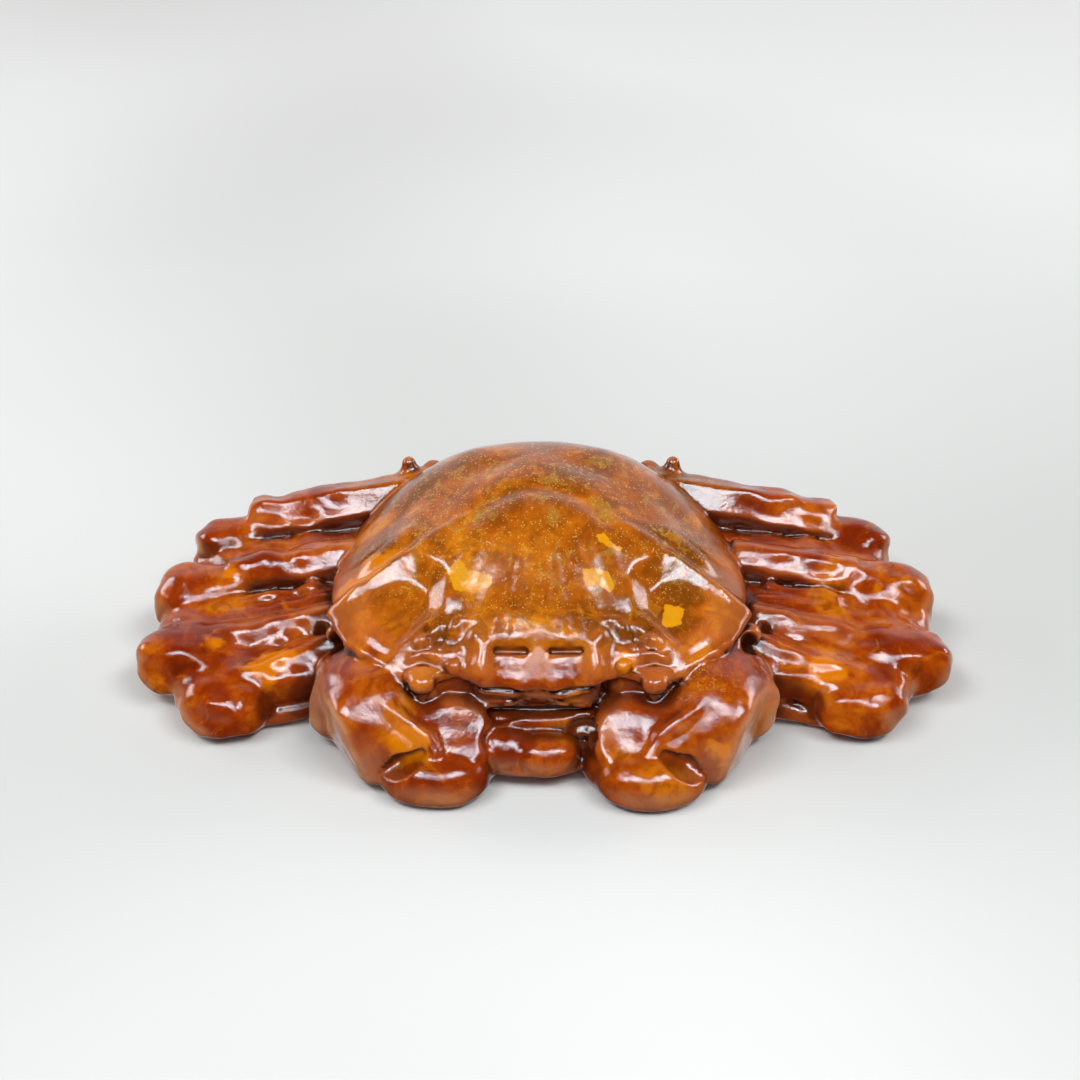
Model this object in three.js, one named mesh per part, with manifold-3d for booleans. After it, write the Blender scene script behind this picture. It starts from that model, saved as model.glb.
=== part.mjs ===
// A crab carved from one piece of amber, at rest on its belly. Millimetres, +Z up, the face looks to -Y.
// The whole carving is one solid: shell, body, folded legs, claws and face are joined without a gap.
import * as THREE from "three";
import { mergeVertices } from "three/addons/utils/BufferGeometryUtils.js";
import Module from "manifold-3d";

const wasm = await Module();
wasm.setup();

// ---- driving dimensions (mm) ----
const SHELL_X = -0.6; // the shell sits a little left of the legs' mid-line
const SHELL_CY = 9.0; // centre the shell's outline is drawn about
const SHELL_TOP = 28.6;
const LIP_FRONT = 1.5; // thickness of the shell's overhanging edge
const LIP_BACK = 3.5;
const SHELL_AROUND = 50;
const SHELL_RINGS = [0.16, 0.34, 0.5, 0.63, 0.74, 0.84, 0.93, 1.0];
const LIMB_AROUND = 7;
const RIB_AROUND = 5; // for the thin ribs between the legs
const CENTRE_Y = -2.7; // brings the middle of the outline over the origin
const PIT_R = 1.15;

// Right half of the shell's edge, front to back: x, y, height of the edge.
const MARGIN = [
  [0, -15.9, 14.5], [2.0, -16.3, 14.4], [4.4, -15.6, 14.5], [7.2, -16.1, 14.8], [9.0, -15.0, 15.0],
  [10.6, -14.3, 15.0], [12.4, -14.5, 14.7], [15.0, -15.6, 14.2], [16.8, -15.2, 14.4], [18.6, -14.3, 14.8],
  [21.0, -12.5, 15.2], [23.6, -10.8, 15.7], [25.8, -8.4, 16.2], [27.2, -6.0, 16.6], [28.3, -3.8, 16.9],
  [27.6, -0.8, 16.3], [28.1, 5.0, 15.4], [27.4, 11.0, 15.2], [25.6, 17.5, 15.6], [22.2, 23.2, 16.4],
  [17.4, 27.4, 17.4], [12.0, 29.4, 18.2], [6.0, 30.3, 18.8], [0, 30.5, 19.0],
];

// Outline in plan of the dished shelf at the shell's front corner; a facet rises round it.
const BASIN = [
  [28.6, -5.2], [27.2, -4.8], [22.1, -2.4], [19.4, -1.9], [16.4, -2.0], [14.7, -3.4], [14.7, -5.9], [16.2, -7.5],
  [17.3, -9.1], [18.8, -11.3], [19.4, -15.0], [40.0, -15.0], [40.0, -5.2],
];

// Bars of the legs on the right side, mirrored to the left. A bar hangs under its crest line from a to b. Its section
// has a sloping top behind the crest, a bevel and a face in front, a flat bottom and a leaning heel.
// near and far are [front, bevel drop, height, back] at a and b; past is how far it runs on beyond each end.
const BARS = [
  { a: [15.0, 23.0, 20.6], b: [41.4, 23.9, 15.1], near: [3.0, 2.7, 6.6, 4.2], far: [3.3, 3.0, 6.6, 3.2], past: [0.0, 0.9] },
  { a: [41.0, 21.8, 13.2], b: [47.0, 20.4, 11.6], near: [1.6, 1.4, 5.0, 3.2], far: [1.5, 1.4, 5.2, 3.0], past: [0.5, 1.2] },
  { a: [26.0, 11.9, 16.6], b: [43.4, 10.7, 14.2], near: [2.6, 2.4, 6.0, 3.2], far: [2.6, 2.4, 6.6, 3.4], past: [0.0, 0.9] },
  { a: [42.4, 10.0, 13.8], b: [50.4, 9.3, 11.0], near: [2.0, 1.8, 5.2, 3.8], far: [1.9, 1.9, 5.6, 3.6], past: [1.0, 1.4] },
  { a: [29.0, 5.2, 13.0], b: [45.6, 4.3, 9.6], near: [1.5, 1.5, 3.4, 1.5], far: [1.8, 1.7, 3.6, 1.8], past: [0.0, 1.0] },
  { a: [28.0, 1.9, 13.4], b: [45.6, -0.3, 10.2], near: [2.3, 2.1, 5.0, 2.2], far: [2.7, 2.3, 5.6, 2.8], past: [0.0, 0.9] },
  { a: [44.6, -0.8, 10.5], b: [51.0, -1.6, 8.7], near: [1.8, 1.6, 5.4, 3.8], far: [1.8, 1.7, 5.6, 3.6], past: [1.0, 1.8] },
  { a: [26.0, -2.0, 12.6], b: [40.6, -6.8, 8.9], near: [2.4, 2.2, 5.6, 2.4], far: [2.6, 2.2, 5.4, 2.8], past: [0.0, 0.9] },
  { a: [39.2, -7.4, 8.2], b: [45.4, -8.7, 6.5], near: [1.8, 1.6, 5.0, 2.8], far: [1.8, 1.6, 5.0, 2.8], past: [1.0, 1.5] },
];

// Swellings at the ends of the legs: centre, radii, turn.
const LUMPS = [
  [[44.8, 21.7, 8.6], [4.9, 4.0, 4.3], 0], [[45.6, 17.2, 6.6], [4.0, 3.6, 3.8], 0], [[47.5, 10.5, 7.9], [7.1, 4.7, 5.0], 4],
  [[48.6, 4.9, 6.0], [4.8, 3.6, 3.8], 0], [[48.2, -0.9, 6.0], [7.0, 4.7, 4.7], 3], [[45.6, -5.2, 4.0], [4.6, 3.4, 3.4], 0],
  [[42.6, -7.9, 4.4], [6.3, 4.5, 4.0], 8],
];

// Limbs of the right side, mirrored to the left. Rows are x, y, z, half width, half height.
// "power" squares the section off, "up" is the section's own upright.
const LIMBS = [
  { power: 2.4, up: [0, -0.3, 1], rows: [[47.0, 19.6, 7.2, 2.1, 2.3], [39.0, 19.0, 9.4, 1.6, 2.1], [28.0, 18.6, 11.0, 1.4, 1.7]] },
  { power: 2.2, up: [0, -0.3, 1], rows: [[43.0, 16.6, 7.6, 1.4, 1.7], [34.0, 16.4, 10.2, 1.2, 1.5], [27.0, 16.2, 11.4, 1.1, 1.3]] },
  { power: 2.0, up: [0, -0.3, 1], rows: [[48.0, 6.0, 7.0, 1.2, 1.3], [43.4, 6.6, 9.4, 1.2, 1.4], [38.2, 7.4, 10.4, 1.1, 1.5], [31.0, 8.0, 11.6, 1.0, 1.3]] },
  { power: 2.2, up: [0, -0.2, 1], rows: [[46.4, -4.4, 4.0, 1.3, 1.5], [42.8, -3.4, 5.8, 1.1, 1.4], [39.8, -1.9, 7.3, 1.0, 1.4], [31.0, 0.2, 9.6, 0.9, 1.3]] },
  { power: 2.3, up: [0, 0, 1], rows: [[42.0, -8.2, 1.7, 1.8, 1.4], [36.0, -7.2, 1.7, 1.4, 1.3], [29.0, -5.4, 2.6, 1.7, 1.5]] },
  // the web the legs stand on
  { power: 2.6, up: [0, 0, 1], rows: [[20, 18.5, 10.0, 6.0, 4.2], [43.0, 17.0, 7.6, 4.6, 3.8]] },
  { power: 2.6, up: [0, 0, 1], rows: [[20, 8.0, 9.0, 6.0, 4.2], [46.6, 5.0, 6.6, 5.0, 3.6]] },
  { power: 2.6, up: [0, 0, 1], rows: [[20, 0.0, 7.8, 6.0, 4.0], [45.0, -4.6, 5.2, 4.8, 3.1]] },
  // upper arm behind the wrist, and the flank under the shell's edge
  { power: 2.4, up: [0, 0, 1], rows: [[22, -5.0, 7.0, 4.0, 5.0], [28.4, -11.2, 5.8, 2.6, 4.4]] },
  { power: 2.0, up: [0, 0, 1], rows: [[27.4, -4.2, 13.2, 1.5, 1.5], [22.4, -9.0, 12.4, 1.7, 1.7], [18.0, -12.4, 11.8, 1.7, 1.8], [14.8, -13.8, 11.2, 1.6, 1.8]] },
  // cuff along the wrist's inner side
  { power: 2.0, up: [0, 0, 1], rows: [[21.4, -15.4, 12.7, 0.9, 0.9], [19.4, -18.0, 11.3, 1.0, 1.0], [15.0, -20.2, 8.8, 1.0, 0.9], [13.6, -21.8, 7.0, 0.8, 0.7]] },
  // knob beside the back corner of the shell
  { power: 2.0, up: [0, 1, 0], rows: [[18.1, 26.0, 14.0, 3.1, 3.1], [18.6, 26.6, 19.8, 1.5, 1.5]] },
];

// ---- geometry helpers ----
function solid(geometry) {
  geometry.deleteAttribute("normal");
  geometry.deleteAttribute("uv");
  const g = mergeVertices(geometry, 1e-3);
  const made = new wasm.Manifold(
    new wasm.Mesh({
      numProp: 3,
      vertProperties: g.attributes.position.array,
      triVerts: new Uint32Array(g.index.array),
    }),
  );
  return made;
}
const clamp = (v, a, b) => Math.min(b, Math.max(a, v));
const spow = (v, p) => Math.sign(v) * Math.abs(v) ** p;
function lerpRow(rows, t) {
  const f = clamp(t, 0, rows.length - 1), i = Math.min(Math.floor(f), rows.length - 2), u = f - i;
  return rows[i].map((v, k) => v + (rows[i + 1][k] - v) * u);
}
// Linear look-up in a rising table.
function lookup(xs, ys, x) {
  if (x <= xs[0]) return ys[0];
  for (let i = 1; i < xs.length; i++)
    if (x <= xs[i]) return ys[i - 1] + ((ys[i] - ys[i - 1]) * (x - xs[i - 1])) / (xs[i] - xs[i - 1]);
  return ys[ys.length - 1];
}

// A sphere drawn out along a row of sections, its poles becoming the rounded ends.
function limb({ rows, power, up }, side) {
  const around = rows[0][3] < 3 ? RIB_AROUND : LIMB_AROUND, ringCount = rows.length + 3;
  const g = new THREE.SphereGeometry(1, around, ringCount);
  const p = g.attributes.position;
  const pts = rows.map((r) => new THREE.Vector3(side * r[0], r[1], r[2]));
  const upright = new THREE.Vector3(side * up[0], up[1], up[2]);
  for (let j = 0; j <= ringCount; j++) {
    const row = clamp(j - 2, 0, rows.length - 1);
    const a = pts[Math.max(0, row - 1)], b = pts[Math.min(rows.length - 1, row + 1)];
    const T = b.clone().sub(a).normalize();
    const U = upright.clone().addScaledVector(T, -upright.dot(T)).normalize();
    const S = new THREE.Vector3().crossVectors(T, U);
    const w = rows[row][3], h = rows[row][4], m = Math.min(w, h);
    let scale = 1, along = 0;
    if (j === 0) [scale, along] = [0, -m];
    if (j === 1) [scale, along] = [0.74, -m * 0.68];
    if (j === ringCount - 1) [scale, along] = [0.74, m * 0.68];
    if (j === ringCount) [scale, along] = [0, m];
    for (let i = 0; i <= around; i++) {
      const th = (i % around) * ((2 * Math.PI) / around) + 0.35;
      const c = spow(Math.cos(th), 2 / power), s = spow(Math.sin(th), 2 / power);
      const v = pts[row].clone().addScaledVector(T, along)
        .addScaledVector(S, c * w * scale).addScaledVector(U, s * h * scale);
      p.setXYZ(j * (around + 1) + i, v.x, v.y, v.z);
    }
  }
  return outward(g);
}
function outward(g) {
  const s = solid(g);
  if (s.volume() >= 0) return s;
  const m = s.getMesh(), t = m.triVerts;
  for (let i = 0; i < t.length; i += 3) [t[i + 1], t[i + 2]] = [t[i + 2], t[i + 1]];
  return new wasm.Manifold(new wasm.Mesh({ numProp: 3, vertProperties: m.vertProperties, triVerts: t }));
}
// A bar with a five-sided section, its ends drawn in a little.
function bar({ a, b, near, far, past }, side) {
  const A = new THREE.Vector3(side * a[0], a[1], a[2]), B = new THREE.Vector3(side * b[0], b[1], b[2]);
  const T = B.clone().sub(A).normalize(), length = A.distanceTo(B);
  const F = new THREE.Vector3(T.y, -T.x, 0).normalize();
  if (F.y > 0) F.negate();
  const U = new THREE.Vector3().crossVectors(T, F);
  if (U.z < 0) U.negate();
  const g = new THREE.CylinderGeometry(1, 1, 1, 5, 3, false), p = g.attributes.position;
  const stops = [[-past[0], 0.86], [0.4 - past[0], 1], [length + past[1] - 0.9, 1], [length + past[1], 0.78]];
  for (let k = 0; k < p.count; k++) {
    const ring = Math.round((0.5 - p.getY(k)) * 3), radius = Math.hypot(p.getX(k), p.getZ(k));
    const corner = (Math.round((Math.atan2(p.getX(k), p.getZ(k)) / (2 * Math.PI)) * 5) + 5) % 5;
    const [along, scale] = stops[ring];
    const [fr, dr, ht, bk] = near.map((v, i) => v + (far[i] - v) * clamp(along / length, 0, 1));
    const outline = [[0, 0], [fr, -dr], [fr - 0.177 * (ht - dr), -ht], [-bk - 0.36 * ht, -ht], [-bk, -0.3 * bk]];
    const mid = [-0.3 * bk, -0.55 * ht], [f, u] = radius < 0.5 ? mid : outline[corner];
    const v = A.clone().addScaledVector(T, along)
      .addScaledVector(F, mid[0] + (f - mid[0]) * scale).addScaledVector(U, mid[1] + (u - mid[1]) * scale);
    p.setXYZ(k, v.x, v.y, v.z);
  }
  return outward(g);
}
// A sphere squared off by "power" and turned about Z.
function ball(c, r, { power = 2, turn = 0, around = 14, rings = 8 } = {}) {
  const g = new THREE.SphereGeometry(1, around, rings);
  g.rotateX(Math.PI / 2);
  const p = g.attributes.position;
  for (let i = 0; i < p.count; i++) {
    let [x, y, z] = [p.getX(i), p.getY(i), p.getZ(i)];
    const n = (Math.abs(x) ** power + Math.abs(y) ** power + Math.abs(z) ** power) ** (1 / power);
    p.setXYZ(i, (x / n) * r[0], (y / n) * r[1], (z / n) * r[2]);
  }
  g.rotateZ(THREE.MathUtils.degToRad(turn));
  g.translate(...c);
  return outward(g);
}
// Everything beyond a plane, as a block to cut with: outward direction n, distance d from point c.
function beyond(c, n, d) {
  const N = new THREE.Vector3(...n).normalize();
  const g = new THREE.BoxGeometry(60, 60, 60);
  g.translate(0, 0, 30);
  g.applyQuaternion(new THREE.Quaternion().setFromUnitVectors(new THREE.Vector3(0, 0, 1), N));
  g.translate(c[0] + N.x * d, c[1] + N.y * d, c[2] + N.z * d);
  return solid(g);
}

// ---- the shell's height over any point of its plan ----
const whole = [...MARGIN, ...MARGIN.slice(1, -1).reverse().map(([x, y, z]) => [-x, y, z])]
  .map(([x, y, z]) => ({ th: Math.atan2(x, -(y - SHELL_CY)), r: Math.hypot(x, y - SHELL_CY), z }))
  .sort((a, b) => a.th - b.th);
const TH = [...whole.map((e) => e.th - 2 * Math.PI), ...whole.map((e) => e.th), ...whole.map((e) => e.th + 2 * Math.PI)];
const RR = [...whole, ...whole, ...whole].map((e) => e.r), ZZ = [...whole, ...whole, ...whole].map((e) => e.z);
const bump = (x, y, cx, cy, sx, sy = sx, turn = 0) => {
  const t = THREE.MathUtils.degToRad(turn), u = (x - cx) * Math.cos(t) + (y - cy) * Math.sin(t), v = -(x - cx) * Math.sin(t) + (y - cy) * Math.cos(t);
  return Math.exp(-0.5 * ((u / sx) ** 2 + (v / sy) ** 2));
};
const ease = (a, b, v) => {
  const t = clamp((v - a) / (b - a), 0, 1);
  return t * t * (3 - 2 * t);
};
// Distance outside an outline in plan, zero within it.
function beside(x, y, outline) {
  let best = 1e9, odd = false;
  outline.forEach(([ax, ay], i) => {
    const [bx, by] = outline[(i + 1) % outline.length], dx = bx - ax, dy = by - ay;
    const t = clamp(((x - ax) * dx + (y - ay) * dy) / (dx * dx + dy * dy), 0, 1);
    best = Math.min(best, Math.hypot(x - ax - t * dx, y - ay - t * dy));
    if (ay > y !== by > y && x < (dx * (y - ay)) / dy + ax) odd = !odd;
  });
  return odd ? 0 : best;
}
function shellHeight(x, y) {
  const th = Math.atan2(x, -(y - SHELL_CY)), R = lookup(TH, RR, th), rho = Math.min(Math.hypot(x, y - SHELL_CY) / R, 1.3);
  const power = lookup([0, 0.55, 0.95, 1.2, 1.5, 2.0, 2.5, 3.15], [1.46, 1.43, 1.42, 1.52, 1.95, 2.7, 3.2, 3.4], Math.abs(th));
  const edge = lookup(TH, ZZ, th), low = 0.045 ** (power / 2);
  let h = edge + (SHELL_TOP - edge) * (1 - (Math.sqrt(rho * rho + 0.045) ** power - low) / (1 - low));
  const ax = Math.abs(x);
  if (ax > 10 && y < 6) {
    const inward = Math.max(1 - rho, 0) * R;
    const floor = edge + 0.12 + 0.44 * inward - 0.007 * inward ** 2 - 0.35 * Math.exp(-0.5 * ((inward - 5) / 2) ** 2);
    const steep = 0.58 + 0.16 * ease(20.5, 25.0, ax) + 0.5 * ease(17.0, 14.6, ax) * ease(-8.0, -5.0, y) + 0.2 * ease(-5, -8, y);
    h = Math.min(h, floor + beside(ax, y, BASIN) * steep);
  }
  h += 0.35 * bump(x, y, 0, 1.2, 6.2, 3.8) + 0.9 * bump(x, y, 0, -11.4, 6.6, 1.9);
  h += 0.5 * bump(x, y, 0, 14.6, 3.2, 2.8) + 0.25 * bump(x, y, 0, 23.5, 7, 2.4);
  for (const s of [-1, 1]) {
    h -= 0.7 * bump(x, y, s * 12.2, -4.6, 3.0, 2.6) + 0.45 * bump(x, y, s * 10.4, -1.6, 1.7, 3.6);
    h -= 0.7 * bump(x, y, s * 6.0, 14.2, 3.0, 1.6, s * -22) + 0.55 * bump(x, y, s * 12.2, 10.0, 2.0, 3.0, s * 25);
    h += 0.4 * bump(x, y, s * 9.0, 19.0, 3.2, 2.2) - 0.8 * bump(x, y, s * 12.4, -8.6, 1.5, 1.3) + 0.5 * bump(x, y, s * 9.6, -9.3, 1.4, 0.8);
    h -= 1.0 * bump(x, y, s * 12.4, -11.0, 1.2, 1.0);
  }
  return h;
}
function shell() {
  const rings = SHELL_RINGS.length + 4, g = new THREE.SphereGeometry(1, SHELL_AROUND, rings), p = g.attributes.position;
  for (let j = 0; j <= rings; j++)
    for (let i = 0; i <= SHELL_AROUND; i++) {
      const th = ((i % SHELL_AROUND) / SHELL_AROUND) * 2 * Math.PI - Math.PI;
      const R = lookup(TH, RR, th), edge = lookup(TH, ZZ, th), front = (1 + Math.cos(th)) / 2;
      const lip = LIP_BACK + (LIP_FRONT - LIP_BACK) * clamp(front * 1.6 - 0.2, 0, 1);
      const n = SHELL_RINGS.length;
      let rho = j === 0 ? 0 : j <= n ? SHELL_RINGS[j - 1] * (j === n ? 0.985 : 1) : j === n + 1 ? 1.0 : j === n + 2 ? 0.985 : j === n + 3 ? 0.9 : 0;
      const x = rho * R * Math.sin(th), y = SHELL_CY - rho * R * Math.cos(th);
      let z = shellHeight(x, y);
      if (j === n) z = edge - 0.05;
      if (j === n + 1) z = edge - lip * 0.45;
      if (j === n + 2) z = edge - lip;
      if (j === n + 3) z = edge - lip - 1.2;
      if (j === rings) z = 9;
      p.setXYZ(j * (SHELL_AROUND + 1) + i, x + SHELL_X, y, z);
    }
  return outward(g);
}

// ---- the carving ----
let crab = shell();
const join = (s) => { crab = crab.add(s); };
const cut = (s) => { crab = crab.subtract(s); };

join(ball([SHELL_X, 7.5, 10.0], [25.8, 20.2, 8.8], { power: 3.6, around: 20, rings: 6 })); // body
join(ball([0, 5, 4.5], [14.6, 15.6, 6.0], { power: 2.6, around: 18, rings: 6 })); // belly
for (const s of [-1, 1]) {
  join(ball([s * 17.5, -6.0, 8.4], [10.0, 7.6, 6.6], { power: 3, around: 10, rings: 6 })); // shoulder inside the claw's root
  for (const l of LIMBS) join(limb(l, s));
  for (const b of BARS) join(bar(b, s));
  for (const [c, r, turn] of LUMPS) join(ball([s * c[0], c[1], c[2]], r, { power: 2.4, turn: s * turn, around: 10, rings: 6 }));
  const reach = s > 0 ? -0.8 : 0; // the right fist reaches further forward
  // wrist: a barrel with a flattened front, a shoulder above it, an inner slope and an outer face
  const wc = [s * 21.0, -11.6, 6.8];
  let wrist = ball(wc, [9.4, 12.0, 7.7], { power: 2.3, turn: s * -6, around: 14, rings: 8 });
  for (const [n, q] of [
    [[s * 0.06, -0.97, 0.22], [s * 22.0, -22.4, 3.0]], [[s * -0.17, -0.66, 0.73], [s * 21.0, -18.8, 11.5]],
    [[s * -0.62, -0.1, 0.77], [s * 14.6, -15.0, 10.4]], [[s * 0.86, -0.44, -0.2], [s * 26.6, -17.8, 8.0]],
  ])
    wrist = wrist.subtract(beyond(q, n, 0));
  join(wrist);
  // hand: a back that slopes down to a crease, and a full front below it
  join(ball([s * 12.6, -15.4 + reach, 5.6], [6.6, 8.2, 5.7], { power: 2.5, turn: s * 6, around: 12, rings: 7 })
    .subtract(beyond([s * 12.4, -19.4 + reach / 2, 8.6], [s * -0.12, -0.66, 0.74], 0)));
  join(ball([s * 14.0, -19.5 + reach, 3.0], [7.4, 6.2, 4.0], { power: 2.3, turn: s * 4, around: 14, rings: 7 }));
  join(ball([s * 9.0, -16.6 + reach * 2, 3.0], [4.0, 4.6, 3.4], { around: 10, rings: 6 })); // lower finger
  join(ball([s * 15.4 + SHELL_X / 2, 28.2, 18.2], [1.7, 1.4, 1.6], { around: 8, rings: 5 })); // back corner bump
  join(ball([s * 22.0, 26.0, 15.4], [2.7, 2.0, 2.5], { around: 8, rings: 5 }));
  join(ball([s * 12.2, -10.4, 11.6], [4.4, 3.6, 3.2], { power: 3, around: 10, rings: 6 })); // wall of the orbit
  join(ball([s * 15.0 + SHELL_X, -15.4, 13.7], [1.9, 1.5, 1.5], { around: 10, rings: 6 })); // knob
  join(limb({ power: 2, up: [0, 1, 0], rows: [[15.1 + s * SHELL_X, -14.3, 13.6, 2.2, 1.8], [15.0 + s * SHELL_X, -15.2, 11.9, 0.9, 0.9]] }, s));
  join(ball([s * 10.9 + SHELL_X, -13.4, 14.9], [1.4, 1.3, 1.3], { around: 8, rings: 5 })); // bump inside the orbit
}
// face, jaw bowl and the bead in it
join(ball([-0.8, -9.6, 11.6], [8.8, 5.3, 3.0], { power: 6, around: 16, rings: 6 }));
join(ball([-0.8, -12.0, 6.2], [9.0, 4.6, 3.2], { power: 2.6, around: 14, rings: 6 }));
join(ball([-1.4, -15.4, 3.2], [8.2, 5.6, 1.9], { power: 2.4, around: 14, rings: 6 }));
join(ball([-5.0, -17.0, 4.6], [4.2, 3.6, 3.2], { around: 10, rings: 6 }));
join(ball([0.4, -18.3, 4.5], [4.7, 3.4, 2.9], { around: 12, rings: 7 }));
for (const s of [-1, 1]) {
  // slit over each orbit
  const slit = new THREE.BoxGeometry(4.2, 0.6, 1.5);
  slit.rotateX(0.46);
  slit.translate(s * 3.55 + SHELL_X, -12.85, 17.2);
  cut(solid(slit));
  // drilled pit beside the shell's spine
  const pit = new THREE.CylinderGeometry(PIT_R, PIT_R * 0.8, 8, 8);
  pit.rotateX(Math.PI / 2);
  pit.translate(s * 30.1, -0.8, 14.2);
  cut(solid(pit));
}
cut(beyond([0, 0, 0], [0, 0, -1], 0)); // flat underneath: the belly and both fists rest on it
crab = crab.translate([0, CENTRE_Y, 0]);

const mesh = crab.getMesh();
const geometry = new THREE.BufferGeometry()
  .setAttribute("position", new THREE.BufferAttribute(new Float32Array(mesh.vertProperties), 3))
  .setIndex(new THREE.BufferAttribute(new Uint32Array(mesh.triVerts), 1));
geometry.computeVertexNormals();
const carving = new THREE.Mesh(
  geometry,
  new THREE.MeshStandardMaterial({ color: 0xa2480f, roughness: 0.16, metalness: 0 }),
);
carving.name = "amber_crab";

const group = new THREE.Group();
group.name = "amber_crab_carving";
group.add(carving);
export default group;
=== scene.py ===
"""A crab carved from one piece of orange-brown amber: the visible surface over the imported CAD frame.

The surface is one closed skin. It is modelled as an implicit solid from the same tables of limbs, lumps and shell
outline as the CAD part, meshed on a grid, and pulled onto the exact surface. Lengths here are in millimetres until the
mesh is made.
"""
import math
import bpy
from mathutils import Matrix, Vector


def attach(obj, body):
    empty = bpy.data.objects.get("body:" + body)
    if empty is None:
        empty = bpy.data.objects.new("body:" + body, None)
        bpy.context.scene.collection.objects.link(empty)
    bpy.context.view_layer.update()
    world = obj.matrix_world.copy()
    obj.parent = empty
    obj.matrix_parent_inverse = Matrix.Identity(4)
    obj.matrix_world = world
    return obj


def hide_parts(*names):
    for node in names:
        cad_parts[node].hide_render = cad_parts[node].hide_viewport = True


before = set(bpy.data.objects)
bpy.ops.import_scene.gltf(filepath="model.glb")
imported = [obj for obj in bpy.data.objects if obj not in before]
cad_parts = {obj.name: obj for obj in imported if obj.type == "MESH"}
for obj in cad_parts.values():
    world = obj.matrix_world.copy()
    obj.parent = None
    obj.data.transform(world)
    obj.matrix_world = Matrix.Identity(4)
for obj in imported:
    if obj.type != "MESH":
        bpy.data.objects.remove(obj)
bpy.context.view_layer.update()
CENTRE_Y = -2.7  # moves the sculpted form so that its box is centred on the origin
import numpy as np
f32=np.float32
# ---------------------------------------------------------------- helpers
def smin(a,b,k):
    h=np.clip(0.5+0.5*(b-a)/k,0,1); return b+(a-b)*h-k*h*(1-h)
def smax(a,b,k): return -smin(-a,-b,k)
def sstep(a,b,x):
    t=np.clip((x-a)/(b-a),0,1); return t*t*(3-2*t)
def gau(x,y,cx,cy,sx,sy=None,rot=0.0):
    sy=sx if sy is None else sy
    c,s=math.cos(math.radians(rot)),math.sin(math.radians(rot))
    u=(x-cx)*c+(y-cy)*s; v=-(x-cx)*s+(y-cy)*c
    return np.exp(-0.5*((u/sx)**2+(v/sy)**2))
def poly_d(x,y,pts):
    "distance to polyline in plan, and the fraction along it"
    best=np.full(x.shape,1e9); frac=np.zeros(x.shape)
    L=[0]
    for a,b in zip(pts[:-1],pts[1:]): L.append(L[-1]+math.hypot(b[0]-a[0],b[1]-a[1]))
    for i,(a,b) in enumerate(zip(pts[:-1],pts[1:])):
        dx,dy=b[0]-a[0],b[1]-a[1]; l2=dx*dx+dy*dy
        t=np.clip(((x-a[0])*dx+(y-a[1])*dy)/l2,0,1)
        d=np.hypot(x-a[0]-t*dx,y-a[1]-t*dy)
        m=d<best; best=np.where(m,d,best); frac=np.where(m,(L[i]+t*math.sqrt(l2))/L[-1],frac)
    return best,frac
def inside(x, y, pts):
    "signed distance to a polygon in plan, negative inside"
    d, _ = poly_d(x, y, pts + pts[:1])
    odd = np.zeros(x.shape, bool)
    for (ax, ay), (bx, by) in zip(pts, pts[1:] + pts[:1]):
        if ay != by:
            odd ^= ((ay > y) != (by > y)) & (x < (bx - ax) * (y - ay) / (by - ay) + ax)
    return np.where(odd, -d, d)
def ridge(x,y,pts,w,taper=0.18):
    d,t=poly_d(x,y,pts)
    e=np.minimum(t,1-t)
    return np.exp(-0.5*(d/w)**2)*(sstep(0,taper,e) if taper>0 else 1.0)
def spline(pts,n):
    "Catmull-Rom through rows of numbers"
    p=np.asarray(pts,float); p=np.vstack([2*p[0]-p[1],p,2*p[-1]-p[-2]]); out=[]
    for i in range(1,len(p)-2):
        for t in np.linspace(0,1,n,endpoint=False):
            a,b,c,d=p[i-1],p[i],p[i+1],p[i+2]
            out.append(0.5*((2*b)+(-a+c)*t+(2*a-5*b+4*c-d)*t*t+(-a+3*b-3*c+d)*t**3))
    out.append(p[-2]); return np.array(out)
def limb(P,pts,n=2.0,up=(0,0,1),cap=1.0):
    "pts rows: x y z half_width half_height; superelliptic section of exponent n"
    pts=np.asarray(pts,float); up=np.asarray(up,float); F=np.full(len(P),1e3)
    for p0,p1 in zip(pts[:-1],pts[1:]):
        a=p0[:3]; d=p1[:3]-a; L=np.linalg.norm(d); T=d/L
        U=up-(up@T)*T; U/=np.linalg.norm(U); S=np.cross(T,U)
        q=P-a; t=np.clip(q@T/L,0,1); q=q-t[:,None]*d
        w=p0[3]+(p1[3]-p0[3])*t; h=p0[4]+(p1[4]-p0[4])*t; m=np.minimum(w,h)*cap
        qs,qu,qt=np.abs(q@S)/w,np.abs(q@U)/h,np.abs(q@T)/m
        if n==2.0: r=np.sqrt(qs*qs+qu*qu+qt*qt)
        else:
            r=(qs**n+qu**n)**(1/n); r=np.sqrt(r*r+qt*qt)
        l=np.sqrt((q*q).sum(1))
        F=np.minimum(F,np.where(r>1e-6,l-l/np.maximum(r,1e-6),-np.minimum(w,h)))
    return F
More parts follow.
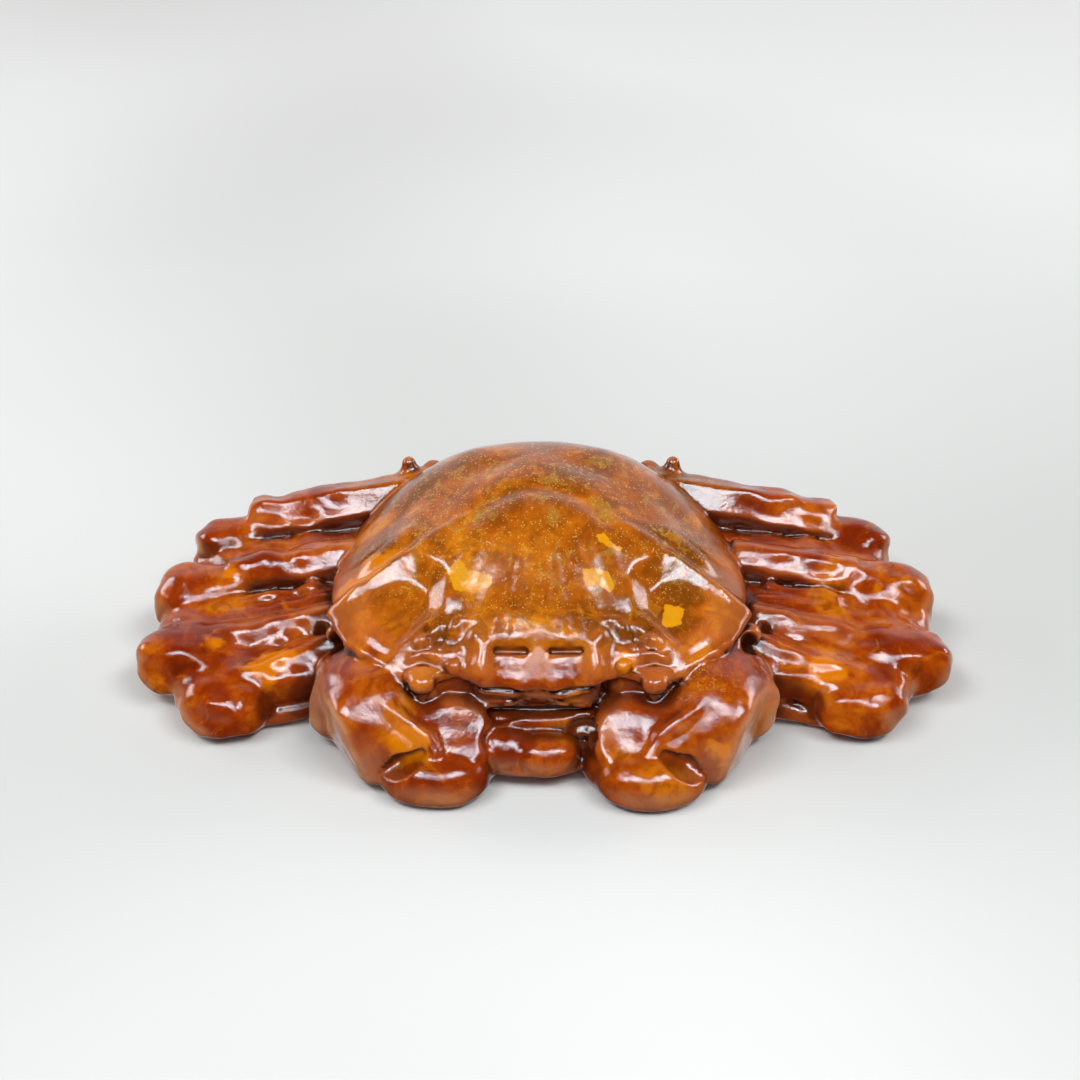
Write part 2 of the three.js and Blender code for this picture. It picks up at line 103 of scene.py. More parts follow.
def beam(P,a,b,A,B,k=0.5,ends=(0.0,0.0)):
    "a bar under its crest line a-b, which has a flat back, a bevel, a front, a bottom and a heel; A and B are (front, bevel drop, height, back)"
    a,b=np.asarray(a,float),np.asarray(b,float); d=b-a; L=np.linalg.norm(d); T=d/L
    Fv=np.array([T[1],-T[0],0.0]); Fv*=-np.sign(Fv[1]) if Fv[1]!=0 else 1.0; Fv/=np.linalg.norm(Fv); U=np.cross(T,Fv); U*=np.sign(U[2])
    q=P-a; t=q@T; w=np.clip(t/L,0,1); f,u=q@Fv,q@U
    fr,dr,ht,bk=[x+(y-x)*w for x,y in zip(A,B)]
    lb=np.sqrt(fr*fr+dr*dr)
    F=smax(0.958*u-0.287*f,(dr*f+fr*u)/lb,k)
    F=smax(F,0.985*(f-fr)-0.174*(u+dr),k)
    F=smax(F,-(u+ht),k*2)
    F=smax(F,-0.94*(f+bk)+0.34*(u),k*1.6)
    return smax(F,smax(t-L-ends[1],-t-ends[0],k),k*1.3)
def ell(P,c,r,n=2.0,rot=0.0,tilt=0.0,pitch=0.0):
    "superellipsoid, rot about Z, then tilt about its own Y, pitch about its own X (degrees)"
    q=P-np.asarray(c,float)
    a=math.radians(rot); ca,sa=math.cos(a),math.sin(a)
    x=q[:,0]*ca+q[:,1]*sa; y=-q[:,0]*sa+q[:,1]*ca; z=q[:,2]
    a=math.radians(pitch); ca,sa=math.cos(a),math.sin(a)
    y,z=y*ca+z*sa,-y*sa+z*ca
    a=math.radians(tilt); ca,sa=math.cos(a),math.sin(a)
    x,z=x*ca-z*sa,x*sa+z*ca
    X,Y,Z=np.abs(x)/r[0],np.abs(y)/r[1],np.abs(z)/r[2]
    rr=np.sqrt(X*X+Y*Y+Z*Z) if n==2.0 else (X**n+Y**n+Z**n)**(1/n)
    l=np.sqrt(x*x+y*y+z*z)
    return np.where(rr>1e-6,l-l/np.maximum(rr,1e-6),-min(r))
# ---------------------------------------------------------------- carapace
CY=9.0
MARGIN=[(0,-15.9,14.5),(2.0,-16.3,14.4),(4.4,-15.6,14.5),(7.2,-16.1,14.8),(9.0,-15.0,15.0),(10.6,-14.3,15.0),(12.4,-14.5,14.7),(15.0,-15.6,14.2),
 (16.8,-15.2,14.4),(18.6,-14.3,14.8),(21.0,-12.5,15.2),(23.6,-10.8,15.7),(25.8,-8.4,16.2),(27.2,-6.0,16.6),(28.3,-3.8,16.9),
 (27.6,-0.8,16.3),(28.1,5.0,15.4),(27.4,11.0,15.2),(25.6,17.5,15.6),(22.2,23.2,16.4),(17.4,27.4,17.4),(12.0,29.4,18.2),(6.0,30.3,18.8),(0,30.5,19.0)]
SX=-0.6
def _polar():
    m=np.array(MARGIN); m=np.vstack([m,[(-a,b,c) for a,b,c in m[-2:0:-1]]])
    th=np.arctan2(m[:,0],-(m[:,1]-CY)); o=np.argsort(th); th=th[o]; r=np.hypot(m[o,0],m[o,1]-CY); z=m[o,2]
    th=np.concatenate([th-2*np.pi,th,th+2*np.pi]); return th,np.tile(r,3),np.tile(z,3)
TH,RR,ZZ=_polar()
def margin_at(x,y):
    th=np.arctan2(x,-(y-CY)); return np.interp(th,TH,RR),np.interp(th,TH,ZZ)
def base_height(x,y):
    x=x-SX
    R,zm=margin_at(x,y); rho=np.minimum(np.hypot(x,y-CY)/R,1.3)
    th=np.abs(np.arctan2(x,-(y-CY)))
    p=np.interp(th,[0,0.55,0.95,1.2,1.5,2.0,2.5,3.15],[1.46,1.43,1.42,1.52,1.95,2.7,3.2,3.4])
    r=np.sqrt(rho*rho+0.045); r0=0.045**0.5
    return zm+(28.6-zm)*(1-(r**p-r0**p)/(1-r0**p))
def flat_ridge(x,y,pts,w,n,taper):
    d,t=poly_d(x,y,pts); e=np.minimum(t,1-t)
    return np.exp(-(d/w)**n)*sstep(0,taper,e)
WAVE=None
def wave(x,y,z,l,seed):
    "gentle unevenness of a hand-polished surface"
    rng=np.random.RandomState(seed); o=np.zeros_like(x)
    for i in range(7):
        v=rng.normal(size=3); v/=np.linalg.norm(v); k=2*np.pi/(l*(0.7+0.6*rng.rand())); ph=rng.rand()*6.28
        o+=np.sin(k*(v[0]*x+v[1]*y+v[2]*z)+ph)
    return o/7*1.6
BASIN=[(28.6,-5.2),(27.2,-4.8),(22.1,-2.4),(19.4,-1.9),(16.4,-2.0),(14.7,-3.4),(14.7,-5.9),(16.2,-7.5),(17.3,-9.1),(18.8,-11.3),(19.4,-15.0),(40.0,-15.0),(40.0,-5.2)]
def height(X,Y):
    x=X-SX; y=Y
    R,zm=margin_at(x,y); rho=np.hypot(x,y-CY)/R
    H=base_height(X,Y)
    # front corners: a broad flat facet falls to a dished shelf, and a wall rises on its inner side
    for s in (-1,1):
        m=(x*s>10)&(y<6)
        if m.any():
            X1,y1=x[m]*s,y[m]; inw=np.maximum(1-rho[m],0)*R[m]
            floor=zm[m]+0.12+0.44*inw-0.007*inw*inw-0.35*np.exp(-0.5*((inw-5.0)/2.0)**2)
            d=inside(X1,y1,BASIN); d=0.5*(d+np.sqrt(d*d+0.06))
            S=floor+d*(0.58+0.16*sstep(20.5,25.0,X1)+0.5*sstep(17.0,14.6,X1)*sstep(-8.0,-5.0,y1)+0.2*sstep(-5,-8,y1))
            H[m]=smin(H[m],S,0.25)
    H=H+0.35*gau(x,y,0,1.2,6.2,3.8)-0.7*gau(x,y,12.2,-4.6,3.0,2.6)-0.7*gau(x,y,-12.2,-4.6,3.0,2.6)+0.9*gau(x,y,0,-11.4,6.6,1.9)
    H=H-0.6*ridge(x,y,[(-9.4,1.6),(-8.0,4.6),(-5.6,6.6),(-2.8,7.7),(0,8.1),(2.8,7.7),(5.6,6.6),(8.0,4.6),(9.4,1.6)],1.0,0.1)
    H=H-0.45*gau(x,y,-10.4,-1.6,1.7,3.6)-0.45*gau(x,y,10.4,-1.6,1.7,3.6)
    H=H+0.5*gau(x,y,0,14.6,3.2,2.8)+0.25*gau(x,y,0,23.5,7,2.4)
    for s in (-1,1):
        H=H-0.7*gau(x,y,s*6.0,14.2,3.0,1.6,s*-22)
        H=H+0.4*gau(x,y,s*9.0,19.0,3.2,2.2)
        H=H-0.55*gau(x,y,s*12.2,10.0,2.0,3.0,s*25)
        # crest over the shelf
        rp=[tuple(v) for v in spline([(s*27.6,-4.2),(s*26.2,-3.0),(s*20.9,-0.3),(s*18.2,0.9),(s*16.3,-1.3),(s*14.2,-4.0)],5)]
        H=H+0.25*ridge(x,y,rp,0.7,0.2)+0.35*ridge(x,y,[(s*27.4,-6.0),(s*25.6,-8.6),(s*23.4,-10.6),(s*21.0,-12.2),(s*18.8,-13.8)],0.4,0.15)-0.2*ridge(x,y,[(s*26.4,-6.0),(s*24.8,-8.2),(s*22.6,-10.0),(s*20.6,-11.4),(s*18.6,-12.8)],0.5,0.15)
        # inner wall of the shelf
        H=H+0.45*ridge(x,y,[(s*13.4,-7.0),(s*12.9,-9.4),(s*14.4,-11.0),(s*16.6,-12.2)],0.6,0.3)
        rq=[tuple(v) for v in spline([(s*24.6,1.4),(s*21.6,3.4),(s*18.4,4.8),(s*15.0,6.0)],5)]
        H=H+0.65*ridge(x,y,rq,1.3,0.25)-0.4*ridge(x,y,[(q[0],q[1]-2.8) for q in rq],1.4,0.25)
        H=H-0.45*gau(x,y,s*17.5,11.5,4.5,1.6,s*-35)
        # brow: hollow, eye bump, pocket and the rims round the knob
        H=H-0.8*gau(x,y,s*12.4,-8.6,1.5,1.3,s*10)+0.75*gau(x,y,s*9.6,-9.3,1.4,0.55)
        H=H-1.3*gau(x,y,s*12.4,-11.0,1.0,0.8,s*20)
        H=H+0.75*ridge(x,y,[(s*13.2,-12.2),(s*12.0,-11.2),(s*11.2,-10.2),(s*9.9,-10.3)],0.38,0.2)
        H=H+0.75*ridge(x,y,[(s*16.0,-12.0),(s*14.9,-11.5),(s*13.9,-11.6)],0.36,0.25)
        H=H-0.5*ridge(x,y,[(s*16.6,-12.6),(s*14.9,-12.1),(s*13.6,-12.2)],0.3,0.25)
        H=H+0.75*ridge(x,y,[(s*17.2,-13.4),(s*15.8,-12.8),(s*14.2,-12.7),(s*12.7,-13.4)],0.36,0.25)
        H=H-0.7*gau(x,y,s*15.0,-13.7,1.3,0.5)
        H=H+0.7*gau(x,y,s*11.0,-12.8,0.9,0.7)-0.4*gau(x,y,s*11.0,-13.9,1.0,0.5)
        H=H+0.5*ridge(x,y,[(s*17.6,-14.4),(s*16.6,-15.1)],0.35,0.3)+0.5*ridge(x,y,[(s*13.6,-15.0),(s*12.0,-14.2)],0.35,0.3)
        H=H+0.75*ridge(x,y,[(s*9.6,-10.4),(s*8.4,-11.2),(s*7.4,-12.6),(s*7.6,-14.2),(s*8.8,-15.4)],0.75,0.25)
        H=H+0.30*gau(x,y,s*3.4,-8.8,2.4,1.6)
        xs=np.abs(x-s*3.6)/2.5
        H=H-0.35*np.exp(-xs**6)*np.exp(-0.5*((y+13.1)/0.45)**2)
        H=H+0.3*np.exp(-xs**4)*np.exp(-0.5*((y+12.0)/0.6)**2)
        H=H-0.28*gau(x,y,s*4.6,-14.6,2.0,1.0)+0.45*gau(x,y,s*7.6,-15.2,1.0,0.9)
    H=H+0.32*ridge(x,y,[(0,-12.8),(0,-8.5),(0,-5.6)],0.9,0.2)
    return H
SER=[(19.4,-13.8),(21.3,-12.4),(23.2,-11.1),(25.0,-9.4)]
def f_carapace(P):
    x,y,z=P[:,0],P[:,1],P[:,2]; xc=x-SX
    R,zm=margin_at(xc,y); r=np.hypot(xc,y-CY)
    for sx,sy in SER:
        R=R+0.45*np.exp(-0.5*(((np.abs(xc)-sx)**2+(y-sy)**2)/0.55**2))
    e=0.05
    H=height(x,y); gx=(height(x+e,y)-H)/e; gy=(height(x,y+e)-H)/e
    top=(z-H)/np.sqrt(1+np.minimum(gx*gx+gy*gy,9))
    side=(r-R)*0.95
    th=1.5+2.0*sstep(-4,8,y)
    bot=(zm-th-z)*0.9
    return smax(smax(top,side,0.8),bot,0.7)
# ---------------------------------------------------------------- primitives cut by planes
def poly(P,c,planes,k):
    "rounded convex body: planes as (nx,ny,nz,distance from c)"
    q=P-np.asarray(c,float); f=None
    for nx,ny,nz,d in planes:
        n=np.array([nx,ny,nz],float); n/=np.linalg.norm(n); g=q@n-d
        f=g if f is None else smax(f,g,k)
    return f
# ---------------------------------------------------------------- limbs, right side; mirrored to the left
# rows: x y z half_width half_height
LIMBS=[
 ("leg1_lower",2.4,(0,-0.3,1),0.4,[(47.0,19.6,7.2,2.0,2.2),(39.0,19.0,9.4,1.5,2.0),(28.0,18.6,11.0,1.3,1.6)]),
 ("leg1_strip",2.2,(0,-0.3,1),0.3,[(43.0,16.6,7.6,1.3,1.6),(34.0,16.4,10.2,1.1,1.4),(27.0,16.2,11.4,1.0,1.2)]),
 ("ribA",2.0,(0,-0.3,1),0.7,[(48.0,6.0,7.0,1.1,1.2),(43.4,6.6,9.4,1.1,1.3),(38.2,7.4,10.4,1.0,1.4),(31.0,8.0,11.6,0.9,1.2)]),
 ("leg3_lower",2.2,(0,-0.2,1),0.6,[(46.4,-4.4,4.0,1.2,1.4),(42.8,-3.4,5.8,1.0,1.3),(39.8,-1.9,7.3,0.9,1.3),(36.4,-0.8,8.8,0.8,1.3),(31.0,0.2,9.6,0.8,1.2)]),
 ("leg4_lower",2.3,(0,0,1),0.6,[(42.0,-8.2,1.7,1.7,1.3),(36.0,-7.2,1.7,1.3,1.2),(29.0,-5.4,2.6,1.6,1.4)]),
 ("web1",2.6,(0,0,1),1.2,[(20,18.5,10.0,5.8,4.0),(43.0,17.0,7.6,4.4,3.6)]),
 ("web2",2.6,(0,0,1),1.2,[(20,8.0,9.0,5.8,4.0),(46.6,5.0,6.6,4.8,3.4)]),
 ("web3",2.6,(0,0,1),1.2,[(20,0.0,7.8,5.8,3.8),(45.0,-4.6,5.2,4.6,2.9)]),
]
# crest line from root to tip, then (front, bevel drop, height, back) at both ends, rounding, end lengths
BEAMS=[
 ("leg1_merus",(15.0,23.0,20.6),(41.4,23.9,15.1),(3.0,2.7,6.6,4.2),(3.3,3.0,6.6,3.2),0.45,(0.0,0.9)),
 ("leg1_carpus",(41.0,21.8,13.2),(47.0,20.4,11.6),(1.6,1.4,5.0,3.2),(1.5,1.4,5.2,3.0),0.7,(0.5,1.6)),
 ("leg2_merus",(26.0,11.9,16.6),(43.4,10.7,14.2),(2.6,2.4,6.0,3.2),(2.6,2.4,6.6,3.4),0.9,(0.0,0.9)),
 ("leg2_carpus",(42.4,10.0,13.8),(50.4,9.3,11.0),(2.0,1.8,5.2,3.8),(1.9,1.9,5.6,3.6),1.0,(1.0,1.8)),
 ("ribB",(29.0,5.2,13.0),(45.6,4.3,9.6),(1.5,1.5,3.4,1.5),(1.8,1.7,3.6,1.8),0.75,(0.0,1.2)),
 ("leg3_merus",(28.0,1.9,13.4),(45.6,-0.3,10.2),(2.3,2.1,5.0,2.2),(2.7,2.3,5.6,2.8),0.7,(0.0,0.9)),
 ("leg3_carpus",(44.6,-0.8,10.5),(51.0,-1.6,8.7),(1.8,1.6,5.4,3.8),(1.8,1.7,5.6,3.6),0.9,(1.0,2.2)),
 ("leg4_merus",(26.0,-2.0,12.6),(40.6,-6.8,8.9),(2.4,2.2,5.6,2.4),(2.6,2.2,5.4,2.8),0.7,(0.0,0.9)),
 ("leg4_carpus",(39.2,-7.4,8.2),(45.4,-8.7,6.5),(1.8,1.6,5.0,2.8),(1.8,1.6,5.0,2.8),0.8,(1.0,1.8)),
]
# lumps at the joints: centre, radii, exponent, turn
LUMPS=[
 ((44.8,21.7,8.6),(4.8,3.9,4.2),2.5,0),
 ((45.6,17.2,6.6),(3.8,3.4,3.6),2.3,0),
 ((47.5,10.5,7.9),(7.0,4.6,4.9),2.5,4),
 ((48.6,4.9,6.0),(4.6,3.4,3.6),2.3,0),
 ((48.2,-0.9,6.0),(6.9,4.6,4.6),2.5,3),
 ((45.6,-5.2,4.0),(4.4,3.2,3.2),2.3,0),
 ((42.6,-7.9,4.4),(6.2,4.4,3.9),2.5,8),
]
def build(P):
    F=np.full(len(P),50.0)
    def _m(lo,hi): return np.all((P>np.asarray(lo,float)-3)&(P<np.asarray(hi,float)+3),axis=1)
    def add(lo,hi,fn,k):
        m=_m(lo,hi)
        if m.any(): F[m]=smin(F[m],fn(P[m]),k)
    def cut(lo,hi,fn,k):
        m=_m(lo,hi)
        if m.any(): F[m]=smax(F[m],-fn(P[m]),k)
    def box(pts):
        a=np.array(pts); w=a[:,3:5].max(); return a[:,:3].min(0)-w,a[:,:3].max(0)+w
    def addl(pts,n,up,k): lo,hi=box(pts); add(lo,hi,lambda Q:limb(Q,pts,n,up),k)
    def cutl(pts,n,up,k): lo,hi=box(pts); cut(lo,hi,lambda Q:limb(Q,pts,n,up),k)
    def adde(c,r,k,**kw): R=max(r); c=np.array(c,float); add(c-R,c+R,lambda Q:ell(Q,c,r,**kw),k)
    def cute(c,r,k,**kw): R=max(r); c=np.array(c,float); cut(c-R,c+R,lambda Q:ell(Q,c,r,**kw),k)
    # body under the shell, then the belly it rests on
    add((-27,-15,0),(27,29,18),lambda Q:ell(Q,(SX,7.5,10.0),(25.8,20.2,8.8),n=3.6),1.0)
    add((-12,-10,-1),(12,22,8),lambda Q:ell(Q,(0,5,4.5),(14,15,5.5),n=2.6),2.5)
    for s in (-1,1):
        adde((s*17.5,-6.0,8.4),(10.0,7.6,6.6),1.0,n=3)
        for nm,n,up,k,rows in LIMBS:
            addl([(s*a,b,c,w,h) for a,b,c,w,h in rows],n,(s*up[0],up[1],up[2]),k)
        for nm,a,b,A,B,k,ends in BEAMS:
            a=(s*a[0],a[1],a[2]); b=(s*b[0],b[1],b[2]); lo=np.minimum(a,b)-[3,5,8]; hi=np.maximum(a,b)+[3,5,1]
            add(lo,hi,lambda Q:beam(Q,a,b,A,B,k,ends),0.4 if nm[-5:]=='merus' else 0.8)
        for c,r,n,turn in LUMPS:
            adde((s*c[0],c[1],c[2]),r,1.5,n=n,rot=s*turn)
        # ribbed strip between the shell and the second leg
        for i in range(11):
            t=i/10; adde((s*(30.3+1.3*t),13.6-4.9*t,13.9-2.0*t),(1.0,0.42,0.9),0.12)
        # upper arm behind the wrist block
        addl([(s*22,-5.0,7.0,4.0,5.0),(s*28.4,-11.2,5.8,2.6,4.4)],2.4,(0,0,1),0.8)
        dy=-0.8 if s>0 else 0.0
        # wrist: a smooth barrel with a crisp outer edge and a raised cuff on its inner side
        c=np.array((s*21.0,-11.6,6.8))
        wp=[(s*0.06,-0.97,0.22),(s*-0.17,-0.66,0.73),(s*-0.62,-0.10,0.77)]
        wq=[(s*22.0,-22.4,3.0),(s*21.0,-18.8,11.5),(s*14.6,-15.0,10.4)]
        wp=[(a,b,c_,float(np.dot(np.array((a,b,c_))/np.linalg.norm((a,b,c_)),np.array(q)-c))) for (a,b,c_),q in zip(wp,wq)]
        n1=np.array((s*0.86,-0.44,-0.20)); n1/=np.linalg.norm(n1); d1=float(n1@(np.array((s*26.6,-17.8,8.0))-c))
        wf=lambda Q:smax(smax(ell(Q,c,(9.4,12.0,7.7),n=2.3,rot=s*-6),poly(Q,c,wp,1.2),1.2),(Q-c)@n1-d1,0.9)
        add(c-12,c+12,wf,0.6)
        addl([(s*21.4,-15.4,12.7,0.8,0.8),(s*19.4,-18.0,11.3,0.9,0.9),(s*17.2,-19.2,10.2,0.9,0.9),(s*15.0,-20.2,8.8,0.9,0.8),(s*13.6,-21.8,7.0,0.7,0.6)],2.0,(0,0,1),0.9)
        # hand: a broad back that slopes down, and a full rounded front below a crease
        c2=np.array((s*12.6,-15.4+dy,5.6)); n2=np.array((s*-0.15,-0.57,0.81)); n2/=np.linalg.norm(n2); d2=float(n2@(np.array((s*12.4,-19.4+dy*0.5,8.6))-c2))
        add(c2-9,c2+9,lambda Q:smax(ell(Q,c2,(6.6,8.2,5.7),n=2.5,rot=s*6),(Q-c2)@n2-d2,1.0),0.8)
        c3=np.array((s*14.0,-19.5+dy,3.0))
        add(c3-9,c3+9,lambda Q:ell(Q,c3,(7.4,6.2,4.0),n=2.3,rot=s*4,pitch=-6),0.3)
        # shallow crescent between wrist and hand
        cutl([(s*20.2,-23.5+dy*0.5,4.6,1.7,0.6),(s*18.2,-23.0+dy*0.5,6.2,2.4,1.2),(s*15.4,-22.2+dy*0.5,7.4,1.3,0.6)],2.0,(0,0,1),0.45)
        # grooves of the underside
        for i in range(4):
            yb=-2.6+4.4*i; cutl([(s*5.2,yb,-0.1,0.45,0.55),(s*9.0,yb-0.5,0.5,0.45,0.55),(s*12.6,yb-1.8,2.0,0.4,0.5)],2.0,(0,0,1),0.3)
        cutl([(s*2.2,8.0,-0.1,0.4,0.5),(s*4.4,12.6,0.1,0.45,0.5),(s*5.6,17.0,1.6,0.45,0.6)],2.0,(0,0,1),0.3)
        # flank under the shell lip
        addl([(s*27.4,-4.2,13.2,1.5,1.5),(s*22.4,-9.0,12.4,1.7,1.7),(s*18.0,-12.4,11.8,1.7,1.8),(s*14.8,-13.8,11.2,1.6,1.8)],2.0,(0,0,1),0.45)
        # lower finger on the floor
        adde((s*9.0,-16.6+dy*2,3.0),(4.0,4.6,3.4),0.6,rot=s*10)
        # rear knob and corner bump
        addl([(s*18.2+SX*0.5,26.0,14.5,3.3,3.3),(s*18.8+SX*0.5,26.7,20.2,1.0,1.0)],2.0,(0,1,0),1.2)
        adde((s*15.4+SX*0.5,28.2,18.2),(1.5,1.2,1.4),1.0)
        adde((s*22.0,26.0,15.4),(2.6,1.9,2.4),1.0)
        # wall behind the orbit pocket
        adde((s*12.2,-10.4,11.6),(4.4,3.6,3.2),0.8,n=3)
    # face under the front edge, the crevice, and the chin bowl with its bead
    add((-10,-17,6),(10,-8,14.5),lambda Q:ell(Q,(-0.8,-9.6,11.6),(8.8,5.3,3.0),n=6),0.4)
    add((-12,-18,1),(12,-8,10),lambda Q:ell(Q,(-0.8,-12.0,6.2),(9.0,4.6,3.2),n=2.6),0.5)
    add((-12,-22,0),(12,-8,10),lambda Q:ell(Q,(-1.4,-15.4,3.2),(8.2,5.6,1.7),n=2.4),0.5)
    addl([(-9.6,-18.0,5.0,0.9,0.8),(-8.0,-17.6,6.7,0.8,0.7),(-5.4,-17.0,7.6,0.7,0.6),(-3.0,-16.0,8.0,0.5,0.5)],2.0,(0,0,1),0.5)
    cute((-4.6,-19.4,7.4),(3.2,2.6,1.7),0.8)
    cute((5.6,-17.2,7.0),(2.6,2.6,1.5),0.5)
    adde((0.4,-18.3,4.5),(4.6,3.3,2.8),0.3,n=2.1)
    adde((-5.0,-17.0,4.6),(4.2,3.6,3.2),0.6)
    # folds of the face: a wavy lip, an arch, and the crevice below
    addl([(-8.0,-14.9,12.2,0.5,0.45),(-4.0,-15.2,11.7,0.5,0.45),(-0.8,-15.3,12.5,0.5,0.4),(2.4,-15.2,11.5,0.5,0.45),(6.4,-14.8,12.4,0.5,0.45)],2.0,(0,0,1),0.5)
    addl([(-7.6,-14.7,9.6,0.5,0.45),(-3.8,-15.1,10.3,0.5,0.4),(-0.8,-15.3,11.6,0.5,0.4),(2.2,-15.1,10.3,0.5,0.4),(6.0,-14.7,9.6,0.5,0.45)],2.0,(0,0,1),0.5)
    cute((-0.8,-15.3,10.2),(2.4,1.0,0.9),0.3)
    cutl([(-11.0,-14.6,8.9,0.9,0.45),(-4.0,-15.4,8.9,1.2,0.5),(3.0,-15.4,8.9,1.2,0.5),(9.4,-14.6,8.9,0.9,0.45)],2.0,(0,0,1),0.35)
    # shell
    m=np.all((P>np.array([-32,-21,6]))&(P<np.array([32,35,36])),axis=1)
    if m.any(): F[m]=smin(F[m],f_carapace(P[m]),0.35)
    for s in (-1,1):
        # knob teeth at the corners of the orbit
        adde((s*15.0+SX,-15.5,13.7),(1.75,1.35,1.35),0.35)
        addl([(s*15.1+SX,-14.3,13.6,2.2,1.8),(s*15.0+SX,-15.2,11.9,0.9,0.9)],2.0,(0,1,0),0.4)
        # round bump inside the orbit
        adde((s*10.9+SX,-13.4,14.9),(1.3,1.2,1.2),0.3)
        # slit
        cutl([(s*1.7+SX,-12.9,17.1,0.40,0.62),(s*5.4+SX,-12.8,17.1,0.40,0.62)],2.0,(0,-0.45,0.9),0.3)
        # drilled pits
        cutl([(s*29.7,-0.6,10.2,1.0,1.0),(s*30.3,-1.0,15.0,1.3,1.3)],2.0,(0,1,0),0.3)
        cutl([(s*28.0,-1.2,10.6,0.9,0.9),(s*28.6,-1.8,15.0,1.1,1.1)],2.0,(0,1,0),0.3)
        cutl([(s*26.8,-4.6,9.6,1.1,1.1),(s*27.4,-6.4,13.4,1.4,1.4)],2.0,(0,1,0),0.3)
    m=F<3
    if m.any():
        x,y,z=P[m,0],P[m,1],P[m,2]; leg=sstep(24,34,np.abs(x))
        low=sstep(14,8,z)
        F[m]+=wave(x,y,z,8.5,3)*(0.06+0.34*leg+0.05*low)+wave(x,y,z,4.2,5)*(0.02+0.18*leg+0.05*low)+wave(x,y,z,2.2,9)*(0.004+0.03*leg+0.01*low)
    return smax(F,-P[:,2],0.5)
# ---------------------------------------------------------------- mesher
LO=np.array([-57.0,-30.0,-1.2]); HI=np.array([57.0,34.0,33.0])
def mesh(h,fn=build,lo=LO,hi=HI,verbose=True):
    import time; t0=time.time()
    n=np.ceil((hi-lo)/(2*h)).astype(int)+1   # coarse nodes
    cx=[lo[i]+2*h*np.arange(n[i]) for i in range(3)]
    G=np.stack(np.meshgrid(*cx,indexing='ij'),-1).reshape(-1,3)
    C=fn(G).reshape(n)
    t1=time.time()
    N=2*n-1
    F=np.empty(N,np.float64)
    # trilinear fill, then replace near the surface
    F[::2,::2,::2]=C
    F[1::2,::2,::2]=0.5*(C[1:]+C[:-1])
    F[:,1::2,::2]=0.5*(F[:,2::2,::2]+F[:,:-2:2,::2])
    F[:,:,1::2]=0.5*(F[:,:,2::2]+F[:,:,:-2:2])
    near=np.abs(C)<3.2*h
    near2=np.zeros(N,bool); near2[::2,::2,::2]=near
    for ax in range(3):
        sh=near2.copy(); a=[slice(None)]*3; b=[slice(None)]*3
        a[ax]=slice(1,None); b[ax]=slice(None,-1); sh[tuple(a)]|=near2[tuple(b)]; sh[tuple(b)]|=near2[tuple(a)]; near2=sh
    near2[::2,::2,::2]=False
    idx=np.argwhere(near2); pts=lo+h*idx
    F[near2]=fn(pts)
    t2=time.time()
    S=F<0
    # cells with a sign change
    s=S[:-1,:-1,:-1].astype(np.int8)
    cnt=np.zeros([k-1 for k in N],np.int8)
    offs=[(i,j,k) for i in (0,1) for j in (0,1) for k in (0,1)]
    for o in offs: cnt+=S[o[0]:N[0]-1+o[0],o[1]:N[1]-1+o[1],o[2]:N[2]-1+o[2]]
    act=(cnt>0)&(cnt<8); cells=np.argwhere(act)
    vid=np.full(act.shape,-1,np.int32); vid[act]=np.arange(len(cells))
    acc=np.zeros((len(cells),3)); num=np.zeros(len(cells))
    vals={o:F[cells[:,0]+o[0],cells[:,1]+o[1],cells[:,2]+o[2]] for o in offs}
    for a in offs:
        for ax in range(3):
            if a[ax]==0:
                b=list(a); b[ax]=1; b=tuple(b)
                va,vb=vals[a],vals[b]; m=(va<0)!=(vb<0)
                t=np.where(m,va/np.where(m,va-vb,1),0)
                p=np.zeros((len(cells),3)); p+=np.array(a); p[:,ax]+=t
                acc+=p*m[:,None]; num+=m
    V=lo+h*(cells+acc/num[:,None])
    faces=[]
    for ax in range(3):
        u,v=[(1,2),(2,0),(0,1)][ax]
        a=[slice(None)]*3; b=[slice(None)]*3
        a[ax]=slice(0,-1); b[ax]=slice(1,None)
        A=S[tuple(a)]; B=S[tuple(b)]; ch=A!=B
        e=np.argwhere(ch); ins=A[ch]
        ok=(e[:,u]>0)&(e[:,v]>0)&(e[:,u]<N[u]-1)&(e[:,v]<N[v]-1)
        e=e[ok]; ins=ins[ok]
        def cid(du,dv):
            c=e.copy(); c[:,u]+=du; c[:,v]+=dv; return vid[c[:,0],c[:,1],c[:,2]]
        q=np.stack([cid(-1,-1),cid(0,-1),cid(0,0),cid(-1,0)],1)
        q[~ins]=q[~ins][:,::-1]
        faces.append(q)
    Q=np.concatenate(faces)
    if verbose: print(f"coarse {t1-t0:.1f}s ({len(G)}) fine {t2-t1:.1f}s ({len(pts)}) nets {time.time()-t2:.1f}s verts {len(V)} quads {len(Q)}")
    return V,Q
def project(V,fn=build,steps=1,e=0.04):
    for _ in range(steps):
        f=fn(V); g=np.stack([(fn(V+np.array(d)*e)-f)/e for d in ((1,0,0),(0,1,0),(0,0,1))],1)
        l2=np.maximum((g*g).sum(1),0.05); st=np.clip(f/l2,-0.3,0.3); V=V-g*st[:,None]
    return V
